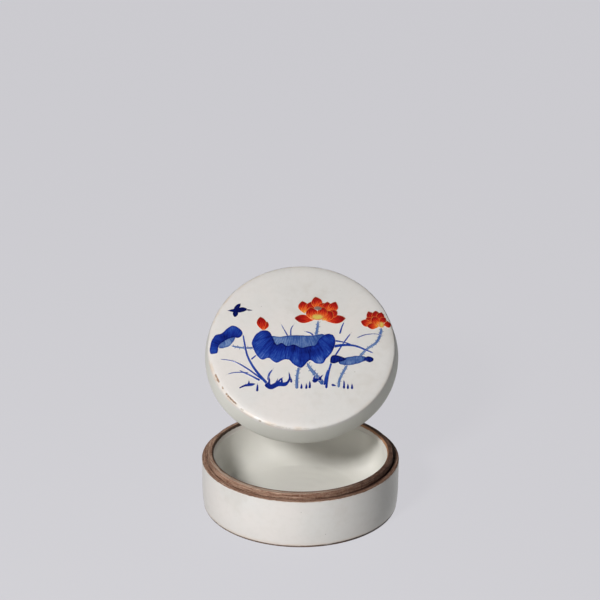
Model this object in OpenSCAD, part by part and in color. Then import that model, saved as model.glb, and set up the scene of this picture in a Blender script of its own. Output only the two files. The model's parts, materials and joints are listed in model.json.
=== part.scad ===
// Round porcelain trinket box, shown open: a shallow stepped-rim base and
// its flat-topped lid, which is held tilted above the back of the opening.
// The lid's painting (lotus leaves, blooms, reeds, a bird) is thin enamel.
// Units are millimetres, +Z is up, the foot stands on Z = 0 and the viewer
// is on the -Y side.

/* [Base] */
// Outside diameter at the mouth
outer_d = 110; // [80:1:150]
// Height from the table to the outer ledge of the mouth
ledge_h = 27.8; // [20:0.1:45]
// Height of the inner locating lip above the ledge
lip_h = 3.2; // [2:0.1:6]
// Outside diameter of the locating lip
lip_outer_d = 103.6; // [75:0.1:145]
// Inside diameter of the mouth
mouth_inner_d = 97.1; // [70:0.1:140]
// Thickness of the floor at its centre
floor_t = 4.4; // [3:0.1:8]
// Thickness of the brown-dressed layer on the ledge
rim_band_t = 0.7; // [0.3:0.1:2]
// Height of the unglazed foot ring
foot_h = 0.6; // [0.3:0.1:3]
// Inside diameter of the foot ring
foot_inner_d = 94; // [70:1:120]

/* [Lid] */
// Height of the lid from its mouth to its flat top
lid_h = 13.5; // [10:0.1:25]
// Diameter of the flat part of the lid's top
lid_flat_d = 95; // [80:1:110]
// Thickness of the lid's top
lid_top_t = 4.6; // [3:0.1:8]
// Gap between the locating lip and the lid's inside wall
lip_gap = 0.6; // [0.2:0.1:1.5]
// Thickness of the dressed layer inside the lid's mouth
mouth_band_t = 0.6; // [0.3:0.1:2]

/* [Lid pose] */
// Tilt of the lid towards the viewer
lid_tilt = 37.7; // [0:0.1:60]
// Turn of the tilt direction about the vertical
lid_yaw = -0.8; // [-10:0.1:10]
// Distance of the lid's mouth centre behind the box's axis
lid_back = 31; // [0:0.5:60]
// Height of the lid's mouth centre above the ledge
lid_rise = 47; // [10:0.5:90]

/* [Painting] */
// Thickness of the painted enamel
enamel_t = 0.2; // [0.1:0.05:0.5]
// Width of a reed stroke at its foot
reed_w = 1.8; // [0.8:0.1:2.4]
// Width of a flower stem
stem_w = 1.9; // [1:0.1:2.5]

/* [Quality] */
// Facets of the round forms
round_fn = 120; // [48:8:200]

/* [Hidden] */
outer_r = outer_d / 2;
lip_outer_r = lip_outer_d / 2;
mouth_r = mouth_inner_d / 2;
foot_inner_r = foot_inner_d / 2;
foot_outer_r = outer_r - 1.3;
band_z = ledge_h - rim_band_t;
lip_top = ledge_h + lip_h;
flat_r = lid_flat_d / 2;
socket_r = lip_outer_r + lip_gap;
paint_r = flat_r - 0.2;
$fn = round_fn;

// ---- the painting, in the plane of the lid's top ----
// Leaves are smooth closed curves through a few points. Petals and wings are
// [x, y, direction, length, width]: base point, degrees from +Y, and size.
// Lines are [first width, last width, [points]].

// dark face of the large central leaf, with its hanging scallops
main_leaf = [
    [-28, 1], [-26, 6], [-22, 9], [-18, 8], [-16, 4], [-14, 0], [-11, 1],
    [-8, -1], [-4, 0], [0, -2], [4, -1], [8, 0], [10, 4], [14, 7],
    [18, 6], [19, 1], [17, -5], [14, -9], [12, -12], [8, -12], [5, -10],
    [3, -12], [0, -15], [-4, -13], [-7, -10], [-10, -10], [-14, -12],
    [-18, -9], [-22, -10], [-25, -7], [-27, -3]
];
// pale upturned edge behind the central leaf
main_lining = [
    [-17, 5], [-12, 5], [-6, 6], [0, 6], [6, 6], [12, 7], [13, 3],
    [8, -3], [0, -4], [-8, -3], [-15, -2]
];
// dark face of the folded leaf on the left
left_leaf = [
    [-51, 0], [-49, 5], [-45, 7], [-42, 10], [-39, 12], [-35, 10],
    [-33, 7], [-35, 4], [-39, 4], [-43, 2], [-46, -1], [-47, -6],
    [-51, -6]
];
// pale underside of the folded leaf
left_lining = [
    [-46, -3], [-45, 1], [-41, 4], [-37, 6], [-37, 4], [-39, 0], [-41, -2]
];
// dark heel, dark knob and pale face of the low leaf on the right
right_leaf = [[16, -11], [17, -7], [20, -6.5], [25, -9], [21, -11], [18, -12]];
right_knob = [[35, -9], [37, -7], [40, -8], [40, -10], [37.5, -11]];
right_lining = [
    [22, -9], [29, -7], [35, -7], [37, -9], [36, -10], [31, -12],
    [26, -13], [21, -12]
];
large_petals = [
    [7, 16, 84, 11.4, 5.8], [13.4, 15.4, -80, 11.6, 5.6],
    [1.5, 20, 10, 8.6, 6], [3, 19, -16, 9.6, 5.6],
    [9.6, 22.4, 14, 9.3, 6.4], [9.4, 22, -38, 6.5, 5],
    [13.6, 19.6, -6, 8.6, 6], [15.6, 19.4, -22, 9.4, 5.8],
    [14.4, 18.4, -60, 6.6, 5.4], [11.4, 15.6, -44, 8.4, 6.8],
    [6.4, 15.8, 10, 8.6, 7], [10.8, 16.6, -10, 8, 6]
];
small_petals = [
    [40.6, 15, 24, 7.7, 4.8], [42, 15.4, 2, 7.2, 5],
    [43.4, 15, -14, 6.9, 4.8], [44, 14.4, -42, 5, 4.2],
    [46.2, 13, -74, 5.5, 4.8], [41.6, 13, 48, 7.2, 5],
    [43.2, 12.4, 26, 7, 5.4], [40.4, 12.6, 68, 7.8, 4.8],
    [43.8, 12.2, 88, 7.2, 4.2]
];
bud_petals = [[-21.4, 8.8, -18, 6.2, 3.6], [-21.8, 8.8, 11, 9.2, 5.6]];
// yellow hearts of the two blooms as [x, y, width, height]
hearts = [[8.9, 17.8, 7.4, 4.4], [44.9, 13.2, 3.6, 4.2]];
seed_pod = [9, 23.6, 4.4, 2.6];
// body, two wings and tail of the bird
bird_parts = [
    [-42.6, 21.6, -88, 11.4, 3], [-39.2, 21, -38, 7, 2.8],
    [-37.2, 23, 172, 5.8, 3.2], [-38.4, 22, -82, 7.4, 2.8],
    [-33.8, 22.4, -94, 6.2, 1]
];
stems = [
    [stem_w, 1.6, [[-2.2, -28], [-2.2, -22], [-1.8, -18], [-1, -13]]],
    [1.8, 1.5, [[8, 5], [8.6, 9], [9, 12], [9.2, 16]]],
    [1.6, 1.7, [[32, -8], [36.5, -2.6], [42, 2], [44.5, 8], [44.6, 12]]],
    [1.6, 1.6, [[20.8, -27], [21.4, -22], [24, -16], [26, -12]]],
    [1.3, 1.2, [[-26, -2.3], [-32, -2.5], [-37, -1.8], [-40, -1]]],
    [3, 1.5, [[12.6, -25], [8, -19], [5, -15], [3, -11]]]
];
reeds = [
    [reed_w, 1, [[-18.6, -25], [-25, -17], [-29, -10], [-31, -4], [-33, 6.6]]],
    [1.3, 0.6, [[-20.6, -23], [-30, -15.6], [-38, -11], [-47, -9.7]]],
    [1.4, 0.8, [[-22.6, -23], [-28, -20], [-32, -18], [-35, -16.3]]],
    [0.9, 0.6, [[-29, -18.4], [-34, -18], [-38, -18.4], [-42, -20]]],
    [1.2, 0.7, [[-28, -10], [-26.5, -8.4], [-24, -6]]],
    [1.6, 0.8, [[14, -27.6], [15, -19], [17, -11], [20, -5], [24, 2],
                [28, 8.2]]],
    [2, 0.9, [[18, -1], [24, 0], [30, -0.5], [36, -3], [41, -5.4]]],
    [1.2, 0.8, [[18, 2.8], [23, 1.9], [29, 0]]],
    [0.8, 0.6, [[31, 4.6], [36, 6.8], [42, 7.3], [47, 6]]],
    [1, 0.6, [[-7, 4], [-9.6, 9], [-12.4, 14.4]]],
    [1.1, 0.6, [[-6, 5], [-6, 10], [-3.8, 14]]],
    [1.3, 0.6, [[7, 5], [5, 7.4], [0.6, 8.8]]],
    [1.2, 0.7, [[21.4, 7], [22.6, 11.6], [24.2, 16]]],
    [1.5, 0.8, [[-18, -23], [-17.6, -19], [-15, -15]]],
    [1.5, 0.8, [[13, -25.6], [13.8, -20], [15, -15]]]
];
// thick lines of the bank, then its upright blades as [x, y, height]
bank_lines = [
    [3.6, 2.4, [[-19.2, -24.6], [-16.6, -27], [-12.6, -25.2], [-8.8, -25.2],
                [-6.8, -23]]],
    [1.8, 0.7, [[-15.6, -27], [-13.6, -24.4], [-12.6, -21]]],
    [1.8, 0.7, [[-13, -26], [-11.8, -22.8], [-9.2, -20.4]]],
    [1.8, 0.8, [[-8, -25], [-6.2, -21.6], [-6.9, -17]]],
    [0.8, 2.6, [[-34.2, -28.2], [-31, -26.4], [-27, -25.6], [-25, -25.2]]],
    [2.4, 3.4, [[7, -24], [8, -22.6], [10.4, -21.6]]],
    [1.7, 0.7, [[8.4, -24], [7.2, -21.6], [8.4, -18.4]]],
    [1.6, 0.7, [[10.6, -23], [11, -20.6], [13, -18.4]]],
    [1.8, 1.5, [[16.8, -25.2], [20, -26]]]
];
bank_blades = [
    [-17.6, -25, 5], [-10.6, -25, 4.4], [-5.4, -24.4, 4], [-28.8, -26, 3.6],
    [-30.6, -26.6, 2.4], [-24, -30, 5.8], [0.3, -28.2, 4.4], [3, -28.2, 4.4],
    [4.9, -27.8, 5.8], [7.6, -24, 4], [10.2, -22.4, 3.4],
    [23.8, -27.8, 6.4], [25.9, -28, 4.4], [28.2, -28, 4.4]
];

// ---- helpers ----

// a point of the smooth curve through b and c, with neighbours a and d
function curve_point(a, b, c, d, t) = 0.5 * (2 * b + (c - a) * t
    + (2 * a - 5 * b + 4 * c - d) * t * t
    + (3 * b - a - 3 * c + d) * t * t * t);

// smooth closed curve through the points p, n steps to each
function closed_curve(p, n = 3) = [
    for (i = [0 : len(p) - 1], k = [0 : n - 1])
        let (m = len(p))
        curve_point(p[(i + m - 1) % m], p[i], p[(i + 1) % m],
            p[(i + 2) % m], k / n)
];

// smooth open curve through the points p
function open_curve(p, n = 3) = concat([
    for (i = [0 : len(p) - 2], k = [0 : n - 1])
        curve_point(p[max(i - 1, 0)], p[i], p[i + 1],
            p[min(i + 2, len(p) - 1)], k / n)
], [p[len(p) - 1]]);

// half width of a petal of width w at the share t of its length
function petal_half(w, t) = w / 2 * pow(sin(180 * pow(t, 1.2)), 0.8);

// unit direction of a line at its point i
function heading(p, i) =
    let (d = p[min(i + 1, len(p) - 1)] - p[max(i - 1, 0)]) d / norm(d);

// one edge of a tapering line, side is 1 or -1
function line_edge(p, w0, w1, side) = [
    for (i = [0 : len(p) - 1])
        let (d = heading(p, i), w = w0 + (w1 - w0) * i / (len(p) - 1))
        p[i] + side * w / 2 * [-d[1], d[0]]
];

function reversed(p) = [for (i = [len(p) - 1 : -1 : 0]) p[i]];

// a tapering brushed line
module brush_line(s) {
    p = open_curve(s[2]);
    polygon(concat(line_edge(p, s[0], s[1], 1),
        reversed(line_edge(p, s[0], s[1], -1))));
}

// a pointed petal or wing, [x, y, direction, length, width]
module petal(s, steps = 10) {
    edge = [for (i = [1 : steps - 1]) i / steps];
    translate([s[0], s[1]])
        rotate(s[2])
            polygon(concat([[0, 0]],
                [for (t = edge) [petal_half(s[4], t), s[3] * t]],
                [[0, s[3]]],
                reversed([for (t = edge) [-petal_half(s[4], t), s[3] * t]])));
}

// an oval spot, [x, y, width, height]
module spot(s, steps = 20) {
    translate([s[0], s[1]])
        polygon([for (i = [0 : steps - 1])
            [s[2] / 2 * cos(360 * i / steps), s[3] / 2 * sin(360 * i / steps)]]);
}

module leaf(p) {
    polygon(closed_curve(p));
}

// an upright blade of grass, [x, y, height]
module blade(s) {
    brush_line([1.6, 0.8, [[s[0], s[1]], [s[0] + 0.1, s[1] + s[2] / 2],
        [s[0] - 0.1, s[1] + s[2]]]]);
}

// a solid of revolution from [radius, height] points
module turned(profile) {
    rotate_extrude() polygon(profile);
}

// puts its children in the lid's own frame: Z = 0 is the lid's mouth
module in_lid_pose() {
    rotate([0, 0, lid_yaw])
        translate([0, lid_back, ledge_h + lid_rise])
            rotate([lid_tilt, 0, 0])
                children();
}

// paints a flat outline on the lid's top
module painted() {
    in_lid_pose()
        translate([0, 0, lid_h])
            linear_extrude(height = enamel_t)
                intersection() {
                    circle(r = paint_r);
                    children();
                }
}

module dark_leaves() {
    leaf(main_leaf);
    leaf(left_leaf);
    leaf(right_leaf);
    leaf(right_knob);
}

module leaf_linings() {
    leaf(main_lining);
    leaf(left_lining);
    leaf(right_lining);
}

module petals(list) {
    for (s = list) petal(s);
}

module hearts_and_pod() {
    for (s = hearts) spot(s);
    spot(seed_pod);
}

module blooms() {
    petals(large_petals);
    petals(small_petals);
    petals(bud_petals);
}

module brush_lines(list) {
    for (s = list) brush_line(s);
}

// ---- sub-parts ----

module base_body() {
    color("WhiteSmoke")
        turned([
            [0, 1.6], [foot_inner_r - 1.5, 1.6], [foot_inner_r, foot_h],
            [foot_outer_r + 0.3, foot_h], [outer_r - 0.6, 1.4],
            [outer_r - 0.3, 4], [outer_r, 9], [outer_r, band_z],
            [mouth_r, band_z], [mouth_r - 0.2, 22], [mouth_r - 0.8, 17],
            [mouth_r - 2.2, 12.4], [mouth_r - 4.6, 8.9],
            [mouth_r - 8.2, 6.4], [mouth_r - 13.5, 5], [30, 4.5],
            [0, floor_t]
        ]);
}

module base_rim_band() {
    color("Sienna")
        turned([
            [mouth_r, band_z], [outer_r, band_z], [outer_r, ledge_h - 0.3],
            [outer_r - 0.4, ledge_h], [lip_outer_r, ledge_h],
            [lip_outer_r, lip_top - 0.5], [lip_outer_r - 0.5, lip_top],
            [mouth_r + 0.6, lip_top], [mouth_r, lip_top - 0.6]
        ]);
}

module base_foot_ring() {
    color("Peru")
        turned([
            [foot_inner_r, 0], [foot_outer_r, 0],
            [foot_outer_r + 0.3, foot_h], [foot_inner_r, foot_h]
        ]);
}

module lid_body() {
    color("WhiteSmoke")
        in_lid_pose()
            turned([
                [0, lid_h], [flat_r, lid_h], [flat_r + 2, lid_h - 0.12],
                [flat_r + 3.5, lid_h - 0.4], [flat_r + 4.4, lid_h - 0.7],
                [flat_r + 4.9, lid_h - 1.2], [flat_r + 5.2, lid_h - 2.1],
                [flat_r + 5.9, lid_h - 5], [flat_r + 6.7, lid_h - 9],
                [outer_r - 0.3, 1.5],
                [outer_r - 0.3, 0.3], [outer_r - 0.6, 0],
                [outer_r - 0.8, 0], [outer_r - 0.8, mouth_band_t],
                [socket_r, mouth_band_t], [socket_r, 3.6],
                [socket_r - 0.3, 4.2], [socket_r - 1.4, 5],
                [socket_r - 2.2, 7], [socket_r - 4, 8.3],
                [socket_r - 7, lid_h - lid_top_t], [0, lid_h - lid_top_t]
            ]);
}

module lid_mouth_band() {
    color("Sienna")
        in_lid_pose()
            turned([
                [socket_r, 0], [outer_r - 0.8, 0],
                [outer_r - 0.8, mouth_band_t], [socket_r, mouth_band_t]
            ]);
}

module painted_main_leaf() {
    color("MidnightBlue") painted() leaf(main_leaf);
}

module painted_left_leaf() {
    color("MidnightBlue") painted() leaf(left_leaf);
}

module painted_right_leaf() {
    color("MidnightBlue")
        painted() {
            leaf(right_leaf);
            leaf(right_knob);
        }
}

module painted_leaf_linings() {
    color("SteelBlue")
        painted()
            difference() {
                leaf_linings();
                dark_leaves();
            }
}

module painted_large_bloom() {
    color("Red")
        painted()
            difference() {
                petals(large_petals);
                hearts_and_pod();
            }
}

module painted_small_bloom() {
    color("Red")
        painted()
            difference() {
                petals(small_petals);
                hearts_and_pod();
            }
}

module painted_bud() {
    color("Red")
        painted()
            difference() {
                petals(bud_petals);
                dark_leaves();
            }
}

module painted_bloom_hearts() {
    color("Gold")
        painted()
            for (s = hearts) spot(s);
}

module painted_seed_pod() {
    color("DimGray") painted() spot(seed_pod);
}

module painted_stems() {
    color("LightSlateGray")
        painted()
            difference() {
                brush_lines(stems);
                dark_leaves();
                leaf_linings();
                blooms();
                hearts_and_pod();
            }
}

module painted_reeds() {
    color("DarkSlateBlue")
        painted()
            difference() {
                brush_lines(reeds);
                dark_leaves();
                leaf_linings();
                blooms();
                brush_lines(stems);
            }
}

module painted_water_grass() {
    color("MidnightBlue")
        painted()
            difference() {
                union() {
                    brush_lines(bank_lines);
                    for (s = bank_blades) blade(s);
                }
                brush_lines(stems);
                brush_lines(reeds);
            }
}

module painted_bird() {
    color("MidnightBlue") painted() petals(bird_parts);
}

base_body();
base_rim_band();
base_foot_ring();
lid_body();
lid_mouth_band();
painted_main_leaf();
painted_left_leaf();
painted_right_leaf();
painted_leaf_linings();
painted_large_bloom();
painted_small_bloom();
painted_bud();
painted_bloom_hearts();
painted_seed_pod();
painted_stems();
painted_reeds();
painted_water_grass();
painted_bird();
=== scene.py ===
"""Round porcelain trinket box, shown open, with a lotus painting on its lid.

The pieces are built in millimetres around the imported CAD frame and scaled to
metres. Base pieces use the row frame; lid pieces use the lid's own frame,
where Z = 0 is the lid's mouth and +Z points out of its flat top.
"""

import json
import math

import bpy
import numpy as np
from mathutils import Matrix, Vector, noise
from mathutils.geometry import delaunay_2d_cdt


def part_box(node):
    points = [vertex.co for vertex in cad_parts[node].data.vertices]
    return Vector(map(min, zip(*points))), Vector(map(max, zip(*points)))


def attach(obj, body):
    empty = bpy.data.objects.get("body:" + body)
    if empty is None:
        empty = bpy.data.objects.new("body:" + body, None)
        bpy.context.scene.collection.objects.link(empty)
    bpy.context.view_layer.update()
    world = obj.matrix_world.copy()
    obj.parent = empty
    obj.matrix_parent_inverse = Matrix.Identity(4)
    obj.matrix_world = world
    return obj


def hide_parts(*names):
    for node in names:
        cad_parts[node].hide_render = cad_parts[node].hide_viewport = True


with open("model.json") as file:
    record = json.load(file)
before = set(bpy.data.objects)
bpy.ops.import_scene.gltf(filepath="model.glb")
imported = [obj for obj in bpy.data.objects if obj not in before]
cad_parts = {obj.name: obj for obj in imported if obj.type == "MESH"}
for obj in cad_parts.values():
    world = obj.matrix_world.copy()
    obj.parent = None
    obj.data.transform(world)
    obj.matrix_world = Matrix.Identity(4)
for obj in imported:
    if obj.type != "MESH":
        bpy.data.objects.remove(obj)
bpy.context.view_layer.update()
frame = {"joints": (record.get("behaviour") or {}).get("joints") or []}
MM = 0.001

# ---- driving dimensions, in millimetres, from the frame ----


def low_mm(node):
    return np.array(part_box(node)[0]) / MM


def high_mm(node):
    return np.array(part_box(node)[1]) / MM


OUTER_R = high_mm("base_body")[0]
BAND_Z = low_mm("base_rim_band")[2]
LIP_TOP = high_mm("base_rim_band")[2]
FOOT_H = high_mm("base_foot_ring")[2]
FOOT_OUTER_R = high_mm("base_foot_ring")[0]
LIP_H = 3.2
LEDGE_W = 3.2
LIP_AND_LEDGE_W = 6.45
LEDGE_H = LIP_TOP - LIP_H
LIP_OUTER_R = OUTER_R - LEDGE_W
MOUTH_R = OUTER_R - LIP_AND_LEDGE_W
FOOT_INNER_R = OUTER_R - 8
BASE_UNDER_Z = 1.6
FLOOR_T = 4.4
LID_H = 13.5
LID_FLAT_R = OUTER_R - 7.5
LID_TOP_T = 4.6
SOCKET_R = LIP_OUTER_R + 0.6
LID_EDGE_R = OUTER_R - 0.8
MOUTH_BAND_T = 0.6

# The lid's frame: the swing joint gives its tilt (its lower limit lays the
# lid level) and its turn, and the mouth band's box gives its centre.
SWING = frame["joints"][0]
LID_TILT = math.radians(-SWING["range_deg"][0])
LID_YAW = math.atan2(SWING["axis"][1], SWING["axis"][0])
BAND_CENTRE = (low_mm("lid_mouth_band") + high_mm("lid_mouth_band")) / 2
LID_MATRIX = (
    Matrix.Translation(Vector(BAND_CENTRE) * MM)
    @ Matrix.Rotation(LID_YAW, 4, "Z")
    @ Matrix.Rotation(LID_TILT, 4, "X")
    @ Matrix.Translation((0, 0, -MOUTH_BAND_T / 2 * MM))
)

# ---- the painting, in the plane of the lid's top ----
# Leaves are smooth closed curves. Petals and wings are (x, y, direction,
# length, width), lines are (first width, last width, points).

MAIN_LEAF = [
    (-28, 1), (-26, 6), (-22, 9), (-18, 8), (-16, 4), (-14, 0), (-11, 1),
    (-8, -1), (-4, 0), (0, -2), (4, -1), (8, 0), (10, 4), (14, 7),
    (18, 6), (19, 1), (17, -5), (14, -9), (12, -12), (8, -12), (5, -10),
    (3, -12), (0, -15), (-4, -13), (-7, -10), (-10, -10), (-14, -12),
    (-18, -9), (-22, -10), (-25, -7), (-27, -3),
]
MAIN_LINING = [
    (-17, 5), (-12, 5), (-6, 6), (0, 6), (6, 6), (12, 7), (13, 3),
    (8, -3), (0, -4), (-8, -3), (-15, -2),
]
LEFT_LEAF = [
    (-51, 0), (-49, 5), (-45, 7), (-42, 10), (-39, 12), (-35, 10),
    (-33, 7), (-35, 4), (-39, 4), (-43, 2), (-46, -1), (-47, -6),
    (-51, -6),
]
LEFT_LINING = [
    (-46, -3), (-45, 1), (-41, 4), (-37, 6), (-37, 4), (-39, 0), (-41, -2),
]
RIGHT_LEAF = [(16, -11), (17, -7), (20, -6.5), (25, -9), (21, -11), (18, -12)]
RIGHT_KNOB = [(35, -9), (37, -7), (40, -8), (40, -10), (37.5, -11)]
RIGHT_LINING = [
    (22, -9), (29, -7), (35, -7), (37, -9), (36, -10), (31, -12),
    (26, -13), (21, -12),
]
LARGE_PETALS = [
    (7, 16, 84, 11.4, 5.8), (13.4, 15.4, -80, 11.6, 5.6),
    (1.5, 20, 10, 8.6, 6), (3, 19, -16, 9.6, 5.6),
    (9.6, 22.4, 14, 9.3, 6.4), (9.4, 22, -38, 6.5, 5),
    (13.6, 19.6, -6, 8.6, 6), (15.6, 19.4, -22, 9.4, 5.8),
    (14.4, 18.4, -60, 6.6, 5.4), (11.4, 15.6, -44, 8.4, 6.8),
    (6.4, 15.8, 10, 8.6, 7), (10.8, 16.6, -10, 8, 6),
]
SMALL_PETALS = [
    (40.6, 15, 24, 7.7, 4.8), (42, 15.4, 2, 7.2, 5),
    (43.4, 15, -14, 6.9, 4.8), (44, 14.4, -42, 5, 4.2),
    (46, 13, -74, 4.7, 4.6), (41.6, 13, 48, 7.2, 5),
    (43.2, 12.4, 26, 7, 5.4), (40.4, 12.6, 68, 7.8, 4.8),
    (43.8, 12.2, 88, 7.2, 4.2),
]
BUD_PETALS = [(-21.4, 8.8, -18, 6.2, 3.6), (-21.8, 8.8, 11, 9.2, 5.6)]
HEARTS = [(8.9, 17.8, 7.4, 4.4), (44.9, 13.2, 3.6, 4.2)]
SEED_POD = (9, 23.6, 4.4, 2.6)
BIRD_PARTS = [
    (-42.6, 21.6, -88, 11.4, 3), (-39.2, 21, -38, 7, 2.8),
    (-37.2, 23, 172, 5.8, 3.2), (-38.4, 22, -82, 7.4, 2.8),
    (-33.8, 22.4, -94, 6.2, 1),
]
STEMS = [
    (1.9, 1.6, [(-2.2, -28), (-2.2, -22), (-1.8, -18), (-1, -13)]),
    (1.8, 1.5, [(8, 5), (8.6, 9), (9, 12), (9.2, 16)]),
    (1.6, 1.7, [(32, -8), (36.5, -2.6), (42, 2), (44.5, 8), (44.6, 12)]),
    (1.6, 1.6, [(20.8, -27), (21.4, -22), (24, -16), (26, -12)]),
    (1.3, 1.2, [(-26, -2.3), (-32, -2.5), (-37, -1.8), (-40, -1)]),
    (3, 1.5, [(12.6, -25), (8, -19), (5, -15), (3, -11)]),
]
REEDS = [
    (1.8, 1, [(-18.6, -25), (-25, -17), (-29, -10), (-31, -4), (-33, 6.6)]),
    (1.3, 0.6, [(-20.6, -23), (-30, -15.6), (-38, -11), (-47, -9.7)]),
    (1.4, 0.8, [(-22.6, -23), (-28, -20), (-32, -18), (-35, -16.3)]),
    (0.9, 0.6, [(-29, -18.4), (-34, -18), (-38, -18.4), (-42, -20)]),
    (1.2, 0.7, [(-28, -10), (-26.5, -8.4), (-24, -6)]),
    (1.6, 0.8, [(14, -27.6), (15, -19), (17, -11), (20, -5), (24, 2),
                (28, 8.2)]),
    (2, 0.9, [(18, -1), (24, 0), (30, -0.5), (36, -3), (41, -5.4)]),
    (1.2, 0.8, [(18, 2.8), (23, 1.9), (29, 0)]),
    (0.8, 0.6, [(31, 4.6), (36, 6.8), (42, 7.3), (47, 6)]),
    (1, 0.6, [(-7, 4), (-9.6, 9), (-12.4, 14.4)]),
    (1.1, 0.6, [(-6, 5), (-6, 10), (-3.8, 14)]),
    (1.3, 0.6, [(7, 5), (5, 7.4), (0.6, 8.8)]),
    (1.2, 0.7, [(21.4, 7), (22.6, 11.6), (24.2, 16)]),
    (1.5, 0.8, [(-18, -23), (-17.6, -19), (-15, -15)]),
    (1.5, 0.8, [(13, -25.6), (13.8, -20), (15, -15)]),
]
BANK_LINES = [
    (3.6, 2.4, [(-19.2, -24.6), (-16.6, -27), (-12.6, -25.2), (-8.8, -25.2),
                (-6.8, -23)]),
    (1.8, 0.7, [(-15.6, -27), (-13.6, -24.4), (-12.6, -21)]),
    (1.8, 0.7, [(-13, -26), (-11.8, -22.8), (-9.2, -20.4)]),
    (1.8, 0.8, [(-8, -25), (-6.2, -21.6), (-6.9, -17)]),
    (0.8, 2.6, [(-34.2, -28.2), (-31, -26.4), (-27, -25.6), (-25, -25.2)]),
    (2.4, 3.4, [(7, -24), (8, -22.6), (10.4, -21.6)]),
    (1.7, 0.7, [(8.4, -24), (7.2, -21.6), (8.4, -18.4)]),
    (1.6, 0.7, [(10.6, -23), (11, -20.6), (13, -18.4)]),
    (1.8, 1.5, [(16.8, -25.2), (20, -26)]),
]
BANK_BLADES = [
    (-17.6, -25, 5), (-10.6, -25, 4.4), (-5.4, -24.4, 4), (-28.8, -26, 3.6),
    (-30.6, -26.6, 2.4), (-24, -30, 5.8), (0.3, -28.2, 4.4), (3, -28.2, 4.4),
    (4.9, -27.8, 5.8), (7.6, -24, 4), (10.2, -22.4, 3.4),
    (23.8, -27.8, 6.4), (25.9, -28, 4.4), (28.2, -28, 4.4),
]

# Where the cobalt lies thicker or thinner: (x, y, radius, change of density)
MAIN_WASH = [
    (-12, -1.5, 3.2, 0.34), (-4, -2.5, 3.2, 0.3), (4, -4.5, 4, 0.34),
    (-17, 1, 3.2, 0.2), (1, -10, 3.2, 0.14), (10, -3, 3, 0.16),
    (-19, 7.5, 2.6, 0.2), (15, 6, 2.5, 0.12), (18, 0, 2.5, 0.14),
    (-22.5, 2, 3.4, -0.1), (-23, -7, 3, -0.2), (-16, -9, 3, -0.12),
    (-8.5, -8.5, 2.4, -0.2), (-2.5, -10.5, 2.2, -0.18),
    (9.5, -10, 2.8, -0.24), (14, -5, 2.6, -0.14), (12.5, 3, 2.6, -0.12),
]
LEFT_WASH = [
    (-43.5, 4, 3, 0.3), (-38, 6, 3, 0.2), (-47.5, 1, 2.6, 0.22),
    (-39, 10.5, 2.4, -0.16), (-49, -4.5, 2.4, -0.16), (-34.5, 7, 2, -0.1),
]
LINING_WASH = [
    (-12, 3, 3.4, -0.22), (-3, 5, 3.2, 0.1), (10, 4, 3.4, 0.1),
    (0, 0.5, 3, -0.1), (6, 2, 3, 0.05), (36, -9, 2.4, 0.14),
    (23, -9.5, 2.4, 0.14), (-41, 0, 3.2, -0.24),
]
# Dark lines drawn over the central leaf, from its throat to its notches
MAIN_VEINS = [
    [(-16, 3), (-20, 0), (-24, -6.5)], [(-15, 1), (-17, -4), (-18, -9)],
    [(-9, -0.5), (-9, -5), (-8.5, -9.5)], [(-4, -1), (-5, -6), (-6, -10)],
    [(0, -2), (0, -7), (-0.5, -12.5)], [(5, -1.5), (5, -6), (4.5, -10)],
    [(9, 1), (12, -4), (13, -9.5)], [(11, 4), (14, 1), (17.5, -3)],
    [(-17, 5), (-21, 4), (-26, 2)],
]
PAINT_STEP = 0.42
PETAL_STEP = 0.36
FILM_T = 0.014
LAYER_T = 0.015
FILM_UNDER = 0.12


# ---- curves ----


def curve_point(a, b, c, d, t):
    """A point of the smooth curve through b and c, with neighbours a, d."""
    return 0.5 * (
        2 * b + (c - a) * t + (2 * a - 5 * b + 4 * c - d) * t * t
        + (3 * b - a - 3 * c + d) * t**3
    )


def closed_curve(points, steps=8):
    p = np.array(points, float)
    n = len(p)
    return np.array([
        curve_point(p[i - 1], p[i], p[(i + 1) % n], p[(i + 2) % n], k / steps)
        for i in range(n) for k in range(steps)
    ])


def open_curve(points, steps=8):
    p = np.array(points, float)
    last = len(p) - 1
    inner = [
        curve_point(p[max(i - 1, 0)], p[i], p[i + 1], p[min(i + 2, last)],
                    k / steps)
        for i in range(last) for k in range(steps)
    ]
    return np.array(inner + [p[last]])


def rounded(corners, steps=5):
    """A path through (radius, height, rounding) corners."""
    p = np.array([c[:2] for c in corners], float)
    path = []
    for i, corner in enumerate(corners):
        inside = 0 < i < len(corners) - 1
        if not (inside and corner[2]):
            path.append(p[i])
            continue
        before, after = p[i - 1] - p[i], p[i + 1] - p[i]
        start = p[i] + before / np.linalg.norm(before) * corner[2]
        end = p[i] + after / np.linalg.norm(after) * corner[2]
        for k in range(steps + 1):
            t = k / steps
            path.append((1 - t)**2 * start + 2 * t * (1 - t) * p[i]
                        + t * t * end)
    return np.array(path)


def dense(path, longest):
    """The same path with no step longer than that."""
    out = [path[0]]
    for a, b in zip(path[:-1], path[1:]):
        count = max(1, math.ceil(np.linalg.norm(b - a) / longest))
        out += [a + (b - a) * k / count for k in range(1, count + 1)]
    return np.array(out)


def arc_lengths(path):
    steps = np.linalg.norm(np.diff(path, axis=0), axis=1)
    return np.concatenate([[0], np.cumsum(steps)])


def smooth_step(x):
    x = np.clip(x, 0, 1)
    return x * x * (3 - 2 * x)


def noise_at(points, size, seed=0):
    """Smooth noise from -1 to 1, with features of about that size."""
    return np.array([
        noise.noise(Vector(p) / size + Vector((seed, -seed, 2.3 * seed)))
        for p in points
    ])


# ---- meshes ----


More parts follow.
